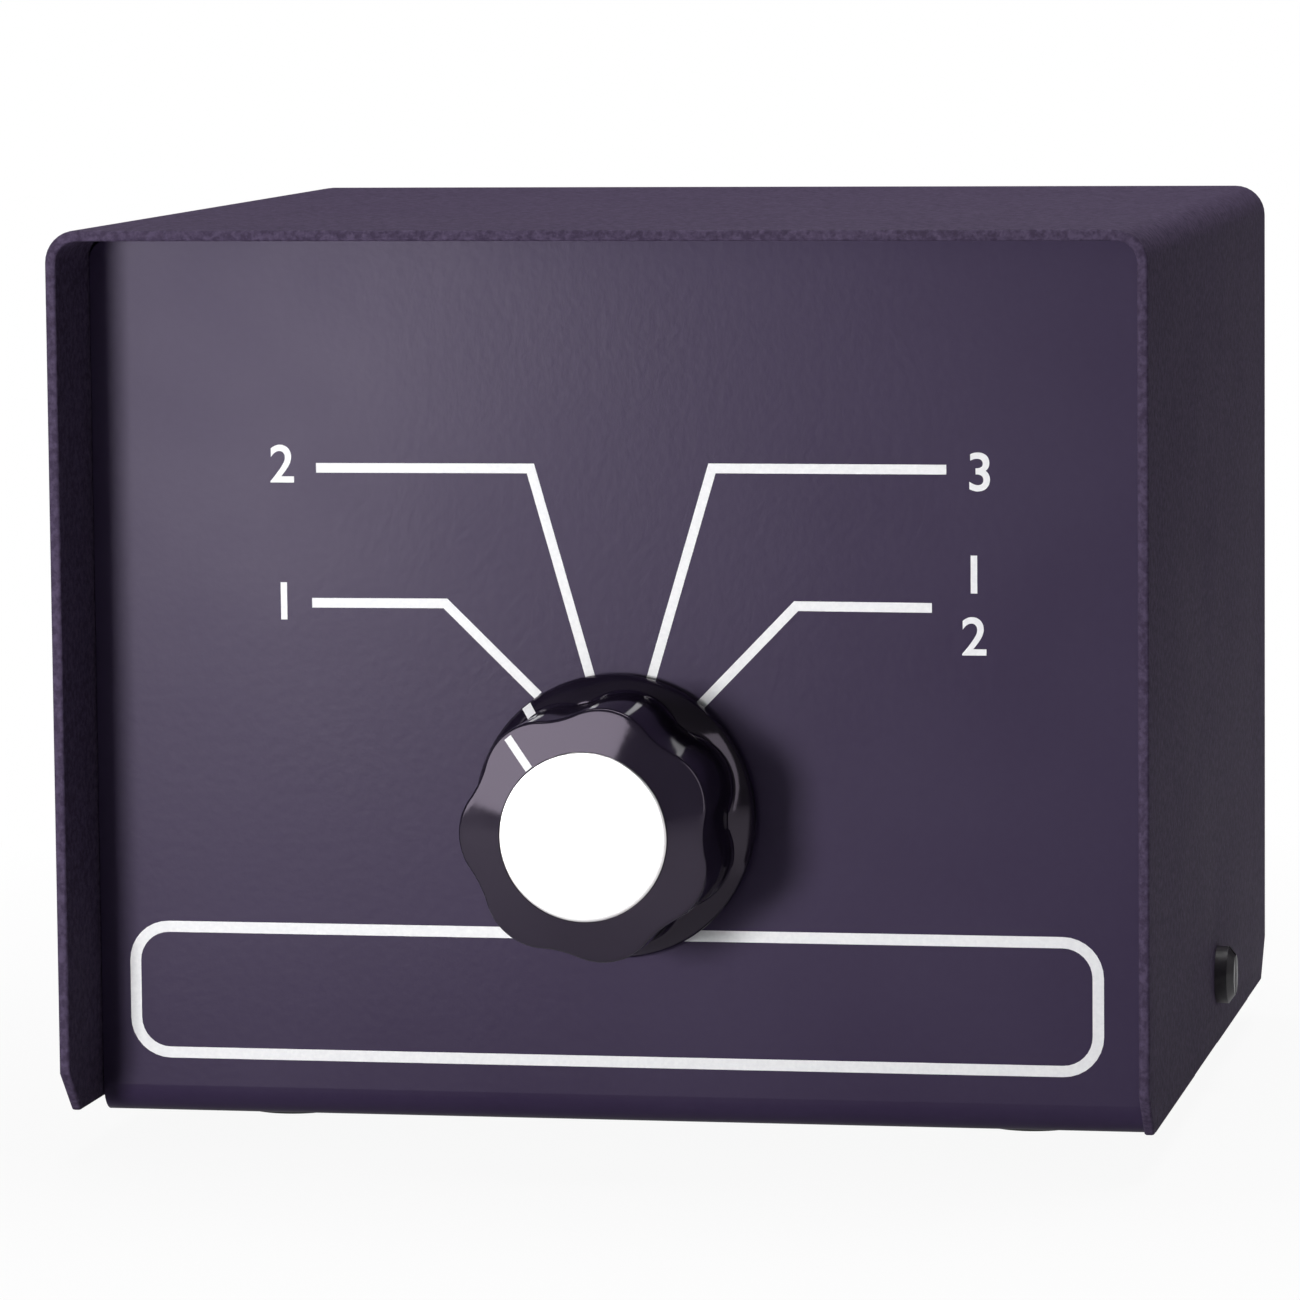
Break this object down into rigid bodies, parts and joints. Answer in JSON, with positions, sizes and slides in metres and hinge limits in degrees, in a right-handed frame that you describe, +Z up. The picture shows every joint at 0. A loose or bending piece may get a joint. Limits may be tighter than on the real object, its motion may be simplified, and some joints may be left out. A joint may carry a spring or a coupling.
{
  "type": "coaxial antenna switch",
  "caption": "Coaxial aerial selector switch: folded steel box with a hooded front panel, fluted rotary knob and threaded coaxial sockets on the rear.",
  "frame": {"origin": "under the middle of the whole switch, at the underside of its rubber feet", "axes": "+X to the right seen from the front panel, +Y from the knob towards the rear sockets, +Z up"},
  "size_m": [0.1052, 0.1148, 0.0862],
  "materials": {
    "cover_paint": "fine wrinkle",
    "panel_paint": "satin",
    "black_steel": "satin",
    "rubber": "matte",
    "phenolic_black": "gloss",
    "spun_aluminium": "spun",
    "brass": "satin",
    "plated_steel": "satin",
    "wafer_board": "matte",
    "silver_plate": "satin",
    "nickel_shell": "satin",
    "insulator_resin": "satin",
    "contact_silver": "satin",
    "tinned_copper": "satin"
  },
  "bodies": {
    "housing": {"cover": "cover_paint", "chassis": "panel_paint", "cover_screws": "black_steel", "rubber_feet": "rubber", "switch_bushing": "brass", "panel_nut": "plated_steel", "panel_washer": "plated_steel", "lock_washer": "plated_steel", "switch_plate": "plated_steel", "detent_spring": "plated_steel", "strut_screws": "plated_steel", "strut_spacers": "plated_steel", "wafer_stator": "wafer_board", "throw_clips_front": "silver_plate", "throw_clips_rear": "silver_plate", "common_clip_front": "silver_plate", "common_clip_rear": "silver_plate", "clip_rivets": "silver_plate", "port_1_shell": "nickel_shell", "port_1_insulator": "insulator_resin", "port_1_contact": "contact_silver", "port_2_shell": "nickel_shell", "port_2_insulator": "insulator_resin", "port_2_contact": "contact_silver", "port_3_shell": "nickel_shell", "port_3_insulator": "insulator_resin", "port_3_contact": "contact_silver", "input_shell": "nickel_shell", "input_insulator": "insulator_resin", "input_contact": "contact_silver", "socket_screws": "plated_steel", "socket_nuts": "plated_steel", "lead_port_1": "tinned_copper", "lead_port_2": "tinned_copper", "lead_port_3": "tinned_copper", "lead_input": "tinned_copper", "jumper_front": "tinned_copper", "jumper_rear": "tinned_copper", "jumper_common": "tinned_copper"},
    "selector": {"knob_body": "phenolic_black", "knob_cap": "spun_aluminium", "knob_insert": "brass", "knob_set_screw": "plated_steel", "switch_shaft": "plated_steel", "shaft_clip": "plated_steel", "index_wheel": "plated_steel", "wafer_rotor": "wafer_board", "rotor_contact_front": "silver_plate", "rotor_contact_rear": "silver_plate"}
  },
  "joints": [
    {"name": "selector_turn", "type": "hinge", "parent": "housing", "child": "selector", "pos_m": [0, -0.04083, 0.0316], "axis": [0, 1, 0], "range_deg": [0, 77.14], "deforming": ["detent_spring"]}
  ]
}
